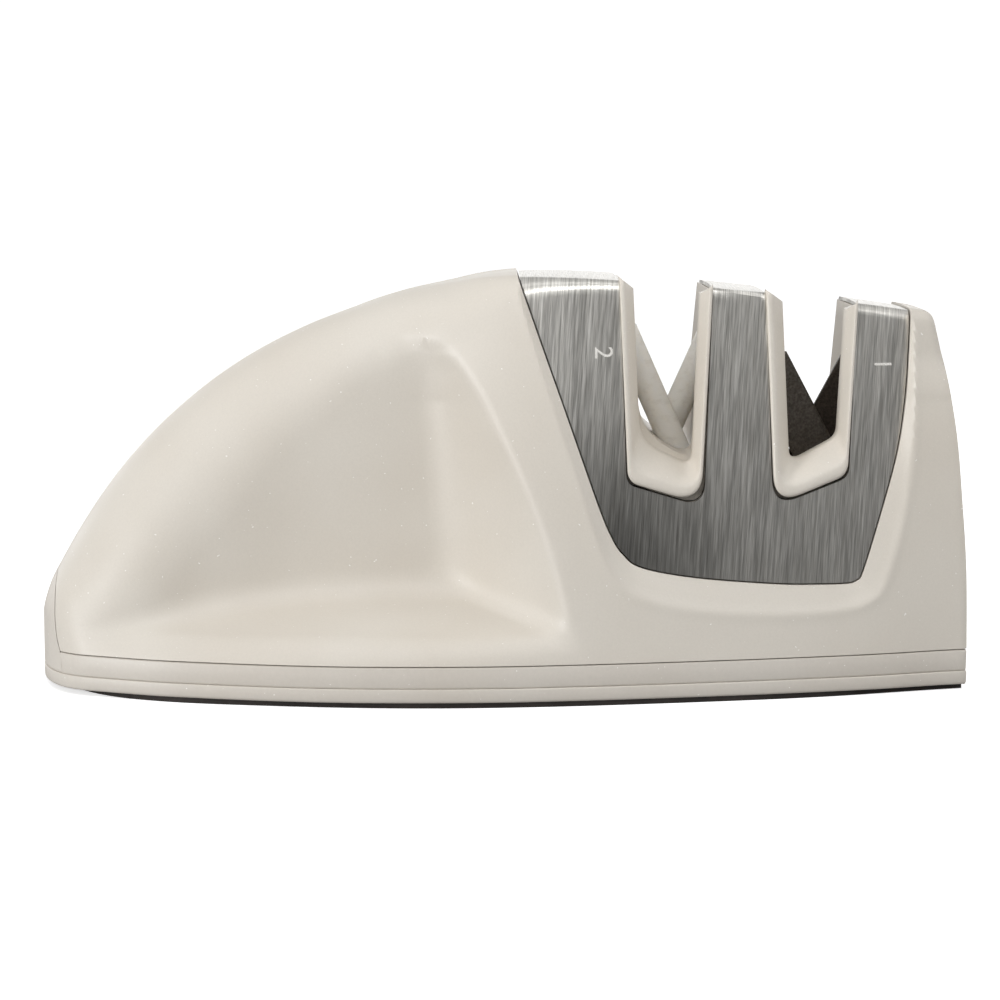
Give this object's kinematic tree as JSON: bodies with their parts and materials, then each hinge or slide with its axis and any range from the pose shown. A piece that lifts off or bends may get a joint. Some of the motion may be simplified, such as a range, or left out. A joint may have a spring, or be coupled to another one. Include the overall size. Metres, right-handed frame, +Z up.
{
  "type": "two stage knife sharpener",
  "caption": "Hand held bench knife sharpener: waisted hollow grip on a flat base, head with a bent steel cover and slots over crossed ceramic rods and crossed carbide blades.",
  "frame": {"origin": "centre of the box of the base, on the surface it stands on", "axes": "+X from the rounded grip to the flat nose of the sharpening head, +Z up, slots run along Y"},
  "size_m": [0.132, 0.0548, 0.0588],
  "materials": {
    "shell_plastic": "fine moulded texture",
    "cover_steel": "brushed up and down",
    "base_plastic": "satin moulded",
    "foot_rubber": "matte",
    "screw_steel": "plated",
    "rod_ceramic": "matte sintered",
    "blade_carbide": "ground tungsten carbide",
    "guide_plastic": "satin moulded",
    "holder_plastic": "plain moulded"
  },
  "bodies": {
    "root": {"upper_shell": "shell_plastic", "steel_cover": "cover_steel", "base_frame": "base_plastic", "base_plate": "base_plastic", "rubber_foot": "foot_rubber", "base_screws": "screw_steel", "ceramic_rod_front": "rod_ceramic", "ceramic_rod_rear": "rod_ceramic", "carbide_blade_front": "blade_carbide", "carbide_blade_rear": "blade_carbide", "fine_guide": "guide_plastic", "coarse_guide": "guide_plastic", "fine_holder_front": "holder_plastic", "fine_holder_rear": "holder_plastic", "coarse_holder_front": "holder_plastic", "coarse_holder_rear": "holder_plastic", "fine_holder_screws": "screw_steel", "coarse_holder_screws": "screw_steel"}
  },
  "joints": []
}
